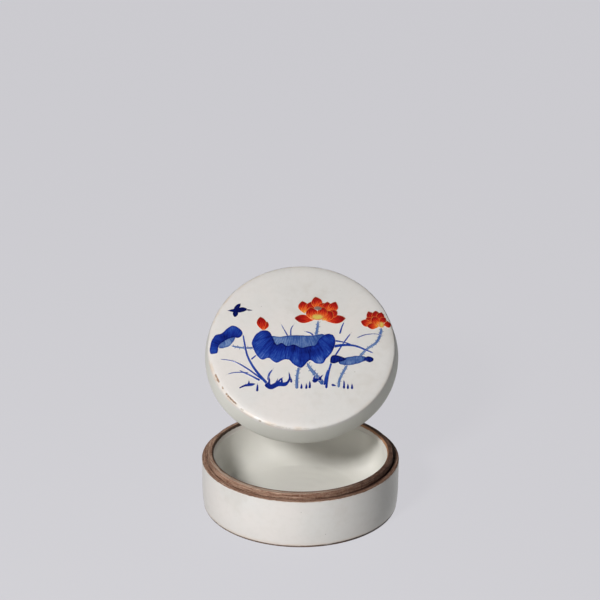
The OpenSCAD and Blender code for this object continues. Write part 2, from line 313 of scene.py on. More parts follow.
def add_object(name, points, faces, marks, matrix=Matrix()):
    """A mesh object from millimetre points, with point attributes."""
    mesh = bpy.data.meshes.new(name)
    mesh.from_pydata((np.asarray(points) * MM).tolist(), [], faces)
    for mark, values in marks.items():
        values = np.asarray(values, np.float32)
        kind = "FLOAT" if values.ndim == 1 else "FLOAT_VECTOR"
        key = "value" if values.ndim == 1 else "vector"
        mesh.attributes.new(mark, kind, "POINT").data.foreach_set(
            key, values.ravel())
    mesh.polygons.foreach_set("use_smooth", [True] * len(mesh.polygons))
    mesh.update()
    obj = bpy.data.objects.new(name, mesh)
    obj.matrix_world = matrix
    bpy.context.scene.collection.objects.link(obj)
    return obj


def turned(name, path, steps, shape=None, marks=None, matrix=Matrix()):
    """A closed solid of revolution. shape(points) moves the points, and
    marks(points) gives point attributes."""
    path = np.asarray(path, float)
    r, z = path[:, 0], path[:, 1]
    area = np.sum(r * np.roll(z, -1) - np.roll(r, -1) * z)
    if area < 0:
        path = path[::-1]
        r, z = path[:, 0], path[:, 1]
    angle = np.arange(steps) * 2 * math.pi / steps
    points, turn, first = [], [], []
    for radius, height, length in zip(r, z, arc_lengths(path)):
        first.append(len(points))
        ring = angle if radius > 1e-6 else angle[:1]
        for a in ring:
            points.append((radius * math.cos(a), radius * math.sin(a), height))
            turn.append((math.cos(a), math.sin(a), length))
    faces = []
    last = len(path) - 1
    pairs = [(i, i + 1) for i in range(last)]
    if r[0] > 1e-6:
        pairs.append((last, 0))
    for i, k in pairs:
        for j in range(steps):
            j1 = (j + 1) % steps
            if r[i] <= 1e-6:
                faces.append((first[i], first[k] + j1, first[k] + j))
            elif r[k] <= 1e-6:
                faces.append((first[i] + j, first[i] + j1, first[k]))
            else:
                faces.append((first[i] + j, first[i] + j1,
                              first[k] + j1, first[k] + j))
    points = np.array(points)
    attributes = {"turn": np.array(turn)}
    if marks:
        attributes.update(marks(points))
    if shape:
        points = shape(points)
    return add_object(name, points, faces, attributes, matrix)


# ---- materials ----

COAT_ROUGHNESS = 0.1


def linear(red, green, blue):
    """An 8-bit screen colour as a linear RGBA colour."""
    def one(c):
        c = c / 255
        return c / 12.92 if c <= 0.04045 else ((c + 0.055) / 1.055)**2.4
    return (one(red), one(green), one(blue), 1)


class Nodes:
    """Short calls for building a node tree."""

    def __init__(self, tree):
        self.tree = tree

    def put(self, value, socket):
        if isinstance(value, bpy.types.NodeSocket):
            self.tree.links.new(value, socket)
        else:
            socket.default_value = value

    def node(self, kind, inputs, **settings):
        made = self.tree.nodes.new(kind)
        for key, value in settings.items():
            setattr(made, key, value)
        for key, value in inputs.items():
            self.put(value, made.inputs[key])
        return made

    def scaled(self, vector, scale):
        return self.node("ShaderNodeMapping",
                         {"Vector": vector, "Scale": scale}).outputs[0]

    def noise(self, vector, scale, detail=3.0, roughness=0.55):
        return self.node("ShaderNodeTexNoise", {
            "Vector": vector, "Scale": scale, "Detail": detail,
            "Roughness": roughness}).outputs["Fac"]

    def math(self, operation, a, b=0.0):
        return self.node("ShaderNodeMath", {0: a, 1: b},
                         operation=operation).outputs[0]

    def spread(self, value, low, high, to_low=0.0, to_high=1.0):
        """The value's range low to high, laid smoothly over the new one."""
        return self.node("ShaderNodeMapRange", {
            "Value": value, "From Min": low, "From Max": high,
            "To Min": to_low, "To Max": to_high},
            interpolation_type="SMOOTHSTEP").outputs["Result"]

    def mix(self, share, a, b):
        made = self.node("ShaderNodeMix", {}, data_type="RGBA")
        self.put(share, made.inputs[0])
        self.put(a, made.inputs[6])
        self.put(b, made.inputs[7])
        return made.outputs[2]

    def ramp(self, value, stops):
        made = self.node("ShaderNodeValToRGB", {"Fac": value})
        elements = made.color_ramp.elements
        while len(elements) < len(stops):
            elements.new(0.5)
        for element, (position, colour) in zip(elements, stops):
            element.position = position
            element.color = colour
        return made.outputs[0]


class Finish(Nodes):
    """One material: a Principled shader and the nodes that drive it."""

    def __init__(self, name):
        self.material = bpy.data.materials.new(name)
        self.material.use_nodes = True
        super().__init__(self.material.node_tree)
        self.shader = self.tree.nodes["Principled BSDF"]

    def place(self):
        return self.node("ShaderNodeTexCoord", {}).outputs["Object"]

    def mark(self, name):
        return self.node("ShaderNodeAttribute", {},
                         attribute_name=name).outputs["Fac"]

    def mark_vector(self, name):
        return self.node("ShaderNodeAttribute", {},
                         attribute_name=name).outputs["Vector"]

    def bump(self, height, distance_mm, below=None):
        inputs = {"Height": height, "Distance": distance_mm * MM,
                  "Strength": 1.0}
        if below is not None:
            inputs["Normal"] = below
        return self.node("ShaderNodeBump", inputs).outputs[0]

    def finish(self, colour, roughness, normal=None, specular=0.5, coat=0.0):
        self.put(colour, self.shader.inputs["Base Color"])
        self.put(roughness, self.shader.inputs["Roughness"])
        if normal is not None:
            self.put(normal, self.shader.inputs["Normal"])
        self.shader.inputs["Specular IOR Level"].default_value = specular
        self.shader.inputs["Coat Weight"].default_value = coat
        self.shader.inputs["Coat Roughness"].default_value = COAT_ROUGHNESS
        return self.material


WARM_WHITE = linear(236, 231, 227)
COOL_WHITE = linear(231, 229, 226)
THIN_GLAZE = linear(222, 200, 176)
CELADON = linear(232, 231, 224)
BISCUIT = linear(176, 128, 92)
BISCUIT_DARK = linear(104, 72, 50)
CHIPPED = linear(182, 172, 158)
FOOT_LINE = linear(112, 86, 68)
# painted shade: the foot line's colour on its shaded right side
FOOT_LINE_SHADE = linear(52, 38, 31)
SPECK = linear(96, 84, 72)


def glaze_colour(f, place):
    """Soft white glaze with clouds, smudges, grain and fine iron specks."""
    clouds = f.spread(f.noise(place, 26), 0.35, 0.65)
    colour = f.mix(clouds, WARM_WHITE, COOL_WHITE)
    smudges = f.spread(f.noise(place, 38, 4), 0.56, 0.72, 0, 0.3)
    colour = f.mix(smudges, colour, linear(212, 206, 198))
    grain = f.spread(f.noise(place, 300, 3), 0.42, 0.68, 0, 0.08)
    colour = f.mix(grain, colour, linear(205, 200, 190))
    cells = f.node("ShaderNodeTexVoronoi",
                   {"Vector": place, "Scale": 105}).outputs["Distance"]
    return f.mix(f.spread(cells, 0.018, 0.036, 0.5, 0), colour, SPECK)


def glaze_bump(f, place, below=None):
    waves = f.bump(f.noise(place, 55, 2), 0.16, below)
    return f.bump(f.noise(place, 600, 3), 0.006, waves)


def base_glaze():
    """White outside, pale celadon inside, thin and bare at the foot, where the
    foot line is drawn taller and darker on the right as painted shade.
    """
    f = Finish("base_glaze")
    place = f.place()
    white = glaze_colour(f, place)
    inside = f.mix(f.spread(f.noise(place, 40), 0.3, 0.7, 0.75, 1), white,
                   CELADON)
    colour = f.mix(f.mark("inside"), white, inside)
    streak = f.noise(f.scaled(f.mark_vector("turn"), (3, 3, 0.9)), 2.2, 4)
    thin = f.math("MULTIPLY", f.mark("thin"), f.spread(streak, 0.3, 0.62))
    colour = f.mix(thin, colour, THIN_GLAZE)
    bare = f.math("MULTIPLY", f.mark("bare"), f.spread(streak, 0.28, 0.44))
    # painted shade: the foot line darkens towards the right through the shade
    # mark
    line = f.mix(f.mark("shade"), FOOT_LINE, FOOT_LINE_SHADE)
    colour = f.mix(bare, colour, line)
    return f.finish(colour, 0.28, glaze_bump(f, place))


def lid_glaze():
    """The lid's glaze, chipped grey or worn to the tan body at its edge."""
    f = Finish("lid_glaze")
    place = f.place()
    colour = glaze_colour(f, place)
    patches = f.noise(place, 130, 4)
    thin = f.math("MULTIPLY", f.mark("thin"), f.spread(patches, 0.38, 0.7))
    colour = f.mix(thin, colour, THIN_GLAZE)
    colour = f.mix(f.mark("pool"), colour, linear(226, 226, 217))
    wear = f.mark("wear")
    body = f.mix(f.spread(f.noise(place, 900), 0.4, 0.6), BISCUIT,
                 BISCUIT_DARK)
    body = f.mix(f.spread(wear, 0.2, 0.6), CHIPPED, body)
    colour = f.mix(f.spread(wear, 0.02, 0.24, 0, 0.85), colour, body)
    roughness = f.spread(wear, 0, 0.6, 0.4, 0.8)
    return f.finish(colour, roughness, glaze_bump(f, place), coat=0.08)


def iron_dressing():
    """Unglazed rim brushed with iron brown, in streaks round the ring, with
    painted shade and painted light laid over it by side and in its corners.
    """
    f = Finish("iron_dressing")
    place = f.place()
    turn = f.mark_vector("turn")
    streaks = f.noise(f.scaled(turn, (2.2, 2.2, 0.9)), 2.4, 5, 0.62)
    tone = f.ramp(streaks, [
        (0.3, linear(84, 50, 38)), (0.44, linear(142, 104, 84)),
        (0.56, linear(180, 146, 126)), (0.7, linear(214, 188, 170))])
    smears = f.noise(f.scaled(turn, (4, 4, 1.6)), 1.7, 4)
    tone = f.mix(f.spread(smears, 0.47, 0.62, 0, 0.85), tone,
                 linear(96, 58, 41))
    tone = f.mix(f.spread(f.noise(place, 420, 3), 0.5, 0.7, 0, 0.5), tone,
                 linear(112, 78, 60))
    tone = f.mix(f.spread(f.noise(place, 900), 0.4, 0.7, 0, 0.35), tone,
                 linear(196, 172, 148))
    # painted shade: dark in the corner under the lip, more on the right, and
    # along the inner lip edge at the left and front
    tone = f.mix(f.mark("groove"), tone, linear(52, 36, 28))
    # painted shade: the rim darkens on its right side, away from the key light
    tone = f.mix(f.mark("stain"), tone, linear(66, 38, 28))
    # painted light: the inner lip edge is lighter tan at the back and right,
    # where it faces the key light
    tone = f.mix(f.mark("warm"), tone, linear(196, 146, 110))
    # painted highlight: the lip's crest is lightened at the front and left, not
    # on the shaded right
    crest_light = f.math("MULTIPLY", f.mark("worn"), f.spread(streaks, 0.3, 0.56))
    tone = f.mix(crest_light, tone, linear(206, 190, 174))
    colour = f.mix(f.mark("glaze"), tone, linear(233, 228, 223))
    roughness = f.spread(streaks, 0.3, 0.7, 0.5, 0.75)
    normal = f.bump(f.noise(place, 1400, 2), 0.05,
                    f.bump(streaks, 0.12))
    return f.finish(colour, roughness, normal, specular=0.35)


def foot_biscuit():
    """Bare, slightly toasted body on the foot ring."""
    f = Finish("foot_biscuit")
    place = f.place()
    tone = f.mix(f.spread(f.noise(place, 90, 5), 0.35, 0.65),
                 linear(118, 92, 74), linear(84, 66, 54))
    tone = f.mix(f.spread(f.noise(place, 1100), 0.45, 0.7, 0, 0.5), tone,
                 linear(84, 62, 48))
    normal = f.bump(f.noise(place, 1500, 3), 0.08)
    return f.finish(tone, 0.85, normal, specular=0.3)


def painted_film(f, place, pigment, opacity, soft_mm):
    """Pigment under the glaze: its edge fades into the white over soft_mm."""
    rough_edge = f.spread(f.noise(place, 1500), 0, 1, -0.1, 0.1)
    depth = f.math("ADD", f.mark("rim"), rough_edge)
    cover = f.math("MAXIMUM", f.spread(depth, 0, soft_mm), f.mark("over"))
    cover = f.math("MULTIPLY", cover, opacity)
    return f.mix(cover, glaze_colour(f, place), pigment)


def cobalt(name, stops, streak_size):
    """Brushed cobalt: density runs in streaks along each stroke."""
    f = Finish(name)
    place = f.place()
    streaks = f.noise(f.scaled(f.mark_vector("stroke"), (1.5, 0.16, 1)),
                      1.0, 3, 0.6)
    fine = f.noise(f.scaled(f.mark_vector("stroke"), (4, 0.5, 1)), 1.0, 2)
    clouds = f.noise(place, 260, 3)
    density = f.math("ADD", f.mark("ink"),
                     f.spread(streaks, 0.3, 0.7, -streak_size, streak_size))
    density = f.math("ADD", density,
                     f.spread(fine, 0.3, 0.7, -0.35 * streak_size,
                              0.35 * streak_size))
    density = f.math("ADD", density, f.spread(clouds, 0.3, 0.7, -0.08, 0.08))
    pigment = f.ramp(density, stops)
    colour = painted_film(f, place, pigment, 1.0, 0.2)
    return f.finish(colour, 0.22, glaze_bump(f, place), coat=0.15)


def petal_red(name):
    """Iron red enamel, deep at the tips, orange to yellow at the base."""
    f = Finish(name)
    place = f.place()
    streaks = f.noise(f.scaled(f.mark_vector("stroke"), (2.2, 0.3, 1)),
                      1.0, 3, 0.6)
    share = f.math("ADD", f.mark("ink"), f.spread(streaks, 0.3, 0.7, -0.2,
                                                  0.2))
    tone = f.ramp(share, [
        (0.0, linear(240, 196, 88)), (0.22, linear(246, 160, 64)),
        (0.4, linear(236, 92, 40)), (0.58, linear(206, 40, 22)),
        (0.8, linear(168, 20, 18)), (1.0, linear(112, 14, 20))])
    outline = f.spread(f.mark("rim"), 0.08, 0.4, 0.8, 0)
    tone = f.mix(outline, tone, linear(240, 140, 66))
    colour = painted_film(f, place, tone, 1.0, 0.16)
    return f.finish(colour, 0.25, glaze_bump(f, place), coat=0.15)


def soft_enamel(name, inner, outer):
    """A dab of enamel that changes colour towards its edge."""
    f = Finish(name)
    place = f.place()
    share = f.math("ADD", f.spread(f.mark("rim"), 0, 1.8),
                   f.spread(f.noise(place, 700, 3), 0.3, 0.7, -0.3, 0.3))
    tone = f.ramp(share, [(0.1, outer), (0.9, inner)])
    colour = painted_film(f, place, tone, 0.95, 0.5)
    return f.finish(colour, 0.25, glaze_bump(f, place), coat=0.15)


COBALT_STOPS = [
    (0.0, linear(128, 150, 200)), (0.2, linear(72, 104, 186)),
    (0.4, linear(34, 70, 166)), (0.65, linear(18, 44, 142)),
    (0.9, linear(9, 26, 108)), (1.1, linear(4, 12, 80)),
]
PALE_STOPS = [
    (0.0, linear(176, 190, 216)), (0.35, linear(112, 140, 188)),
    (0.65, linear(62, 94, 162)), (1.0, linear(24, 48, 124)),
]
BASE_GLAZE = base_glaze()
LID_GLAZE = lid_glaze()
IRON = iron_dressing()
FOOT = foot_biscuit()
COBALT_LEAF = cobalt("cobalt_leaf", COBALT_STOPS, 0.14)
COBALT_LINE = cobalt("cobalt_line", COBALT_STOPS, 0.12)
COBALT_PALE = cobalt("cobalt_pale", PALE_STOPS, 0.16)
PETAL_RED = petal_red("petal_red")
HEART_YELLOW = soft_enamel("heart_yellow", linear(222, 200, 84),
                           linear(234, 128, 48))
POD_GREY = soft_enamel("pod_grey", linear(96, 104, 110),
                       linear(150, 110, 94))


# ---- the base ----


def base_shape(points):
    """The base is thrown a little out of true; the bowl shows its rings."""
    angle = np.arctan2(points[:, 1], points[:, 0])
    r = np.hypot(points[:, 0], points[:, 1])
    sway = 0.07 * np.sin(2 * angle + 0.6) + 0.04 * np.sin(5 * angle + 2)
    weight = smooth_step(r / 30) * smooth_step((points[:, 2] - 0.6) / 6)
    factor = 1 + (sway * weight) / np.maximum(r, 1)
    out = points.copy()
    out[:, 0] *= factor
    out[:, 1] *= factor
    bowl = (points[:, 2] > FLOOR_T - 0.5) & (r < 36)
    out[:, 2] += np.where(bowl, 0.022 * np.sin(r * 0.9), 0)
    return out


def base_marks(points):
    r = np.hypot(points[:, 0], points[:, 1])
    z = points[:, 2]
    inside = (r < MOUTH_R + 0.05) & (z > FLOOR_T - 0.2)
    # painted shade: towards the right the foot line is drawn taller, and the
    # shade mark darkens it
    right = smooth_step(0.3 + 0.9 * points[:, 0] / OUTER_R)
    foot = (smooth_step((FOOT_H + 0.8 + 0.4 * right - z) / 0.6)
            * (r > FOOT_INNER_R + 3))
    return {
        "inside": inside.astype(float),
        "shade": foot * right,
        "thin": smooth_step((3.2 - z) / 2.2) * 0.6,
        "bare": foot,
    }


def base_shell():
    wall = rounded([
        (0, BASE_UNDER_Z, 0), (FOOT_INNER_R - 1.5, BASE_UNDER_Z, 0.6),
        (FOOT_INNER_R, FOOT_H, 0), (FOOT_OUTER_R + 0.3, FOOT_H, 0.15),
        (OUTER_R - 0.6, 1.4, 0.4), (OUTER_R - 0.3, 4, 1.2),
        (OUTER_R, 9, 2), (OUTER_R, BAND_Z, 0.1), (MOUTH_R, BAND_Z, 0),
    ])
    bowl = open_curve([
        (MOUTH_R, BAND_Z), (MOUTH_R - 0.2, 22), (MOUTH_R - 0.8, 17),
        (MOUTH_R - 2.2, 12.4), (MOUTH_R - 4.6, 8.9), (MOUTH_R - 8.2, 6.4),
        (MOUTH_R - 13.5, 5), (30, 4.5), (15, FLOOR_T), (0, FLOOR_T),
    ], 6)
    path = np.concatenate([dense(wall, 1.2), dense(bowl, 1.2)[1:]])
    return turned("base_shell", path, 360, base_shape, base_marks)


def rim_shape(points):
    """Turning marks and small nicks on the dressed rim."""
    r = np.hypot(points[:, 0], points[:, 1])
    angle = np.arctan2(points[:, 1], points[:, 0])
    lumps = noise_at(points, 3.2, 4) * 0.07 + noise_at(points, 1.1, 9) * 0.03
    sway = 0.07 * np.sin(2 * angle + 0.6) + 0.04 * np.sin(5 * angle + 2)
    low = points[:, 2] < BAND_Z + 0.05
    factor = 1 + (sway + np.where(low, 0, lumps * 0.5)) / r
    out = points.copy()
    out[:, 0] *= factor
    out[:, 1] *= factor
    out[:, 2] += np.where(low, 0, lumps)
    return out


def rim_marks(points):
    """Painted shade, painted light and glazed zones of the rim: the right side,
    the corner under the lip and the inner lip edge at the left and front are
    darkened as painted shade, and the front crest and the inner lip edge at
    the back and right are lightened as painted light. The weights left, right
    and front are by side of the ring, with -Y as the front."""
    r = np.hypot(points[:, 0], points[:, 1])
    z = points[:, 2]
    ragged = noise_at(points, 2.0, 3) * 0.16
    corner = np.hypot(r - LIP_OUTER_R - 0.25, z - LEDGE_H + 0.15)
    left = smooth_step(0.5 - points[:, 0] / OUTER_R)
    right = smooth_step(0.12 + 1.2 * points[:, 0] / OUTER_R)
    inner = smooth_step((MOUTH_R + 0.8 + 0.35 * left - r + ragged) / 0.4)
    front = smooth_step(0.3 - points[:, 1] / OUTER_R)
    lower = (r < MOUTH_R + 0.4) & (z < LIP_TOP - 0.9)
    crest = smooth_step(1.3 - np.abs(r - LIP_OUTER_R + 1.1) / 0.7)
    return {
        # painted shade on the right side of the ring, stronger on the lip than
        # on the ledge
        "stain": right * np.where(r < LIP_OUTER_R, 0.72, 0.4)
        * (1 + ragged * 2.5),
        # painted shade in the corner under the lip and on the inner lip edge
        # that faces away from the key light
        "groove": np.maximum(smooth_step(1.25 - corner / (0.45 + 0.5 * right))
                             * (0.5 + 0.5 * right),
                             inner * np.maximum(left, front * 0.8)
                             * (z > LIP_TOP - 1.4) * 0.9),
        # painted highlight on the lip's crest at the front and left
        "worn": crest * front * (1 - right) * (z > LIP_TOP - 0.6) * 0.75,
        # painted light on the inner lip edge at the back and right
        "warm": inner * (1 - left) * (1 - front) * (z > LIP_TOP - 1.6) * 0.8,
        "glaze": np.maximum(
            smooth_step((BAND_Z + 0.62 + ragged - z) / 0.16)
            * (r > LIP_OUTER_R + 2),
            lower * smooth_step((LIP_TOP - 1.1 + ragged * 2 - z) / 0.4)),
    }


def rim_ring():
    path = rounded([
        (MOUTH_R, BAND_Z, 0), (OUTER_R, BAND_Z, 0),
        (OUTER_R, LEDGE_H, 0.42), (LIP_OUTER_R + 0.75, LEDGE_H, 0.2),
        (LIP_OUTER_R + 0.35, LEDGE_H - 0.3, 0.18),
        (LIP_OUTER_R, LEDGE_H - 0.1, 0.12), (LIP_OUTER_R, LIP_TOP, 0.7),
        (MOUTH_R, LIP_TOP, 0.85), (MOUTH_R, BAND_Z + 0.02, 0),
    ])
    return turned("rim_ring", dense(path, 0.35), 540, rim_shape, rim_marks)


def foot_ring():
    path = rounded([
        (FOOT_INNER_R, FOOT_H, 0), (FOOT_INNER_R, 0, 0.3),
        (FOOT_OUTER_R, 0, 0.25), (FOOT_OUTER_R + 0.3, FOOT_H, 0),
    ])
    return turned("foot_ring", dense(path, 0.8), 360)


# ---- the lid ----

SHOULDER = open_curve([
    (LID_FLAT_R - 3, LID_H), (LID_FLAT_R, LID_H),
    (LID_FLAT_R + 2, LID_H - 0.12), (LID_FLAT_R + 3.5, LID_H - 0.4),
    (LID_FLAT_R + 4.4, LID_H - 0.7), (LID_FLAT_R + 4.9, LID_H - 1.2),
    (LID_FLAT_R + 5.2, LID_H - 2.1), (LID_FLAT_R + 5.9, LID_H - 5),
    (LID_FLAT_R + 6.7, LID_H - 9),
], 6)
# Stretches of the lid's edge where the glaze is worn off or nibbled away:
# (first degree, last degree, radius, width, depth, how bare the body is),
# and 270 degrees faces the viewer
WORN_EDGES = [
    (202, 208, 51.2, 0.5, 0.16, 0.9), (211.5, 213.5, 51.2, 0.45, 0.14, 0.8),
    (217, 227, 51.4, 0.45, 0.2, 0.7), (231, 233, 51.8, 0.4, 0.12, 0.5),
    (244, 246, 52.2, 0.4, 0.1, 0.3), (252, 266, 52.1, 0.45, 0.2, 0.13),
    (267.5, 276, 52.1, 0.4, 0.16, 0.12), (281, 283, 52.2, 0.3, 0.1, 0.12),
    (118, 121, 52.4, 0.4, 0.1, 0.3),
    (48, 50, 52.6, 0.4, 0.1, 0.3),
]


def lid_swell(x, y):
    """The lid's top isn't quite flat."""
    return 0.05 * np.sin(x / 15 + 1) * np.cos(y / 18 - 0.5) - 0.03


def lid_wear(points):
    """How far the glaze is worn off, and how deep, at points of the lid."""
    r = np.hypot(points[:, 0], points[:, 1])
    degrees = np.degrees(np.arctan2(points[:, 1], points[:, 0])) % 360
    ragged = noise_at(points, 0.9, 6)
    wear = np.zeros(len(points))
    depth = np.zeros(len(points))
    for first, last, radius, width, deep, bare in WORN_EDGES:
        end = np.minimum(degrees - first, last - degrees)
        near = smooth_step(0.5 + end / 1.2)
        off = np.abs(r - radius - ragged * 0.3) / width
        here = near * smooth_step(1.3 - off) * smooth_step(0.75 + ragged)
        here = here * (points[:, 2] > LID_H - 4)
        wear = np.maximum(wear, here * bare)
        depth = np.maximum(depth, here * deep)
    return wear, depth


def lid_shape(points):
    r = np.hypot(points[:, 0], points[:, 1])
    angle = np.arctan2(points[:, 1], points[:, 0])
    z = points[:, 2]
    out = points.copy()
    sway = 0.06 * np.sin(3 * angle + 1) + 0.04 * np.sin(7 * angle)
    sway *= smooth_step((r - LID_EDGE_R) / (OUTER_R - 0.3 - LID_EDGE_R))
    factor = 1 + sway / np.maximum(r, 1)
    out[:, 0] *= factor
    out[:, 1] *= factor
    top = z > LID_H - 4.2
    out[:, 2] += np.where(top, lid_swell(points[:, 0], points[:, 1]), 0)
    out[:, 2] -= lid_wear(points)[1]
    return out


def lid_marks(points):
    r = np.hypot(points[:, 0], points[:, 1])
    z = points[:, 2]
    left = smooth_step(0.5 - points[:, 0] / OUTER_R)
    edge = smooth_step(1.6 - np.abs(r - 52) / 0.9) * (z > LID_H - 2)
    mouth = smooth_step((1.2 - z) / 1.0) * (r > SOCKET_R - 0.3)
    return {
        "wear": lid_wear(points)[0],
        "pool": smooth_step((LID_H - 1.5 - z) / 2) * (r > 50) * 0.8,
        "thin": np.maximum(edge * (0.2 + 0.35 * left), mouth * 0.8),
    }


def lid_shell():
    rim_r = OUTER_R - 0.3
    face = np.array([(r, LID_H) for r in np.arange(0, LID_FLAT_R - 3, 2.5)])
    skirt = rounded([
        (LID_FLAT_R + 6.7, LID_H - 9, 0), (rim_r, 1.5, 0.6), (rim_r, 0, 0.3),
        (LID_EDGE_R, 0, 0), (LID_EDGE_R, MOUTH_BAND_T, 0),
        (SOCKET_R, MOUTH_BAND_T, 0), (SOCKET_R, 3.6, 0.5),
    ])
    hollow = open_curve([
        (SOCKET_R, 3.6), (SOCKET_R - 0.3, 4.2), (SOCKET_R - 1.4, 5),
        (SOCKET_R - 2.2, 7), (SOCKET_R - 4, 8.3),
        (SOCKET_R - 7, LID_H - LID_TOP_T), (20, LID_H - LID_TOP_T),
        (0, LID_H - LID_TOP_T),
    ], 5)
    path = np.concatenate([
        face, dense(SHOULDER, 0.3), dense(skirt, 0.9)[1:],
        dense(hollow, 1.5)[1:],
    ])
    return turned("lid_shell", path, 720, lid_shape, lid_marks, LID_MATRIX)


def lid_mouth_edge():
    path = np.array([
        (SOCKET_R, 0), (LID_EDGE_R, 0), (LID_EDGE_R, MOUTH_BAND_T),
        (SOCKET_R, MOUTH_BAND_T),
    ])

    def marks(points):
        none = np.zeros(len(points))
        names = ("groove", "stain", "worn", "warm", "glaze")
        return dict.fromkeys(names, none)
    return turned("lid_mouth_edge", dense(path, 0.4), 360, None, marks,
                  LID_MATRIX)


# ---- the painting ----
# A shape is (outline, flow), and flow(points) gives millimetres across and
# along the brush's direction and the share of the length from 0 to 1.


def lid_top(points):
    r = np.hypot(points[:, 0], points[:, 1])
    z = np.interp(r, SHOULDER[:, 0], SHOULDER[:, 1])
    return z + lid_swell(points[:, 0], points[:, 1])


def petal(x, y, direction, length, width, steps=16):
    turn = math.radians(direction)
    up = np.array([-math.sin(turn), math.cos(turn)])
    side = np.array([math.cos(turn), math.sin(turn)])
    share = np.linspace(0, 1, steps + 1)[:, None]
    swell = np.maximum(np.sin(math.pi * share**1.2), 0)**0.8
    half = width / 2 * swell
    spine = np.array([x, y]) + up * length * share
    outline = np.concatenate([spine + side * half,
                              (spine - side * half)[-2:0:-1]])

    def flow(points):
        local = points - np.array([x, y])
        along = local @ up
        return local @ side, along, np.clip(along / length, 0, 1)
    return outline, flow


def spot(x, y, width, height, steps=32):
    a = np.arange(steps) * 2 * math.pi / steps
    outline = np.stack([x + width / 2 * np.cos(a),
                        y + height / 2 * np.sin(a)], 1)

    def flow(points):
        along = points[:, 1] - y
        return points[:, 0] - x, along, np.clip(0.5 + along / height, 0, 1)
    return outline, flow


def leaf(points, fan):
    """A leaf whose brush strokes fan out from the point fan."""
    outline = closed_curve(points)
    tangent = np.roll(outline, -1, 0) - np.roll(outline, 1, 0)
    tangent /= np.linalg.norm(tangent, axis=1)[:, None]
    flat = np.concatenate([outline, np.zeros((len(outline), 1))], 1)
    ragged = noise_at(flat, 1.3, 2) * 0.16
    outline = outline + np.stack([-tangent[:, 1], tangent[:, 0]],
                                 1) * ragged[:, None]

    def flow(points):
        local = points - np.array(fan)
        reach = np.hypot(local[:, 0], local[:, 1])
        angle = np.arctan2(local[:, 0], -local[:, 1])
        return angle * reach.mean(), reach, reach * 0
    return outline, flow


def brush_line(first, last, points):
    """A tapering stroke with a round start and a pointed end."""
    path = open_curve(points)
    length = arc_lengths(path)
    share = length / length[-1]
    width = first + (last - first) * share
    width *= np.clip(length / 0.5, 0.3, 1)
    width *= np.clip((length[-1] - length) / 2.4, 0.12, 1)**0.7
    heading = np.gradient(path, axis=0)
    heading /= np.linalg.norm(heading, axis=1)[:, None]
    side = np.stack([-heading[:, 1], heading[:, 0]], 1)
    edge = side * width[:, None] / 2
    outline = np.concatenate([path + edge, (path - edge)[::-1]])

    def flow(points):
        away = points[:, None] - path[None]
        nearest = np.argmin((away**2).sum(2), 1)
        across = (away[np.arange(len(points)), nearest]
                  * side[nearest]).sum(1)
        return across, length[nearest], share[nearest]
    return outline, flow


def blade(x, y, height):
    return brush_line(1.6, 0.8, [(x, y), (x + 0.1, y + height / 2),
                                 (x - 0.1, y + height)])


def prickles(first, _, points, gap=1.5):
    """Short ticks on alternate sides of a stem that starts first wide."""
    path = open_curve(points)
    length = arc_lengths(path)
    ticks = []
    for i, at in enumerate(np.arange(gap, length[-1] - gap / 2, gap)):
        k = np.searchsorted(length, at)
        heading = path[k] - path[k - 1]
        lean = math.degrees(math.atan2(-heading[0], heading[1]))
        side = 1 if i % 2 else -1
        ticks.append(petal(path[k][0], path[k][1], lean - side * 62,
                           first / 2 + 1, 0.7, 6))
    return ticks


def edge_distance(points, outline):
    """Distance of each point to the closed outline."""
    a = outline
    ab = np.roll(outline, -1, 0) - a
    to = points[:, None] - a[None]
    t = np.clip((to * ab).sum(2) / np.maximum((ab**2).sum(1), 1e-12), 0, 1)
    return np.sqrt((((to - t[..., None] * ab)**2).sum(2)).min(1))


def is_inside(points, outline):
    x, y = points[:, 0][:, None], points[:, 1][:, None]
    ax, ay = outline[:, 0], outline[:, 1]
    bx, by = np.roll(ax, -1), np.roll(ay, -1)
    crosses = (ay > y) != (by > y)
    with np.errstate(divide="ignore", invalid="ignore"):
        at = ax + (y - ay) / (by - ay) * (bx - ax)
    return (crosses & (x < at)).sum(1) % 2 == 1


def depth(points, outline):
    """How deep each point lies inside the outline, 0 outside it."""
    return edge_distance(points, outline) * is_inside(points, outline)


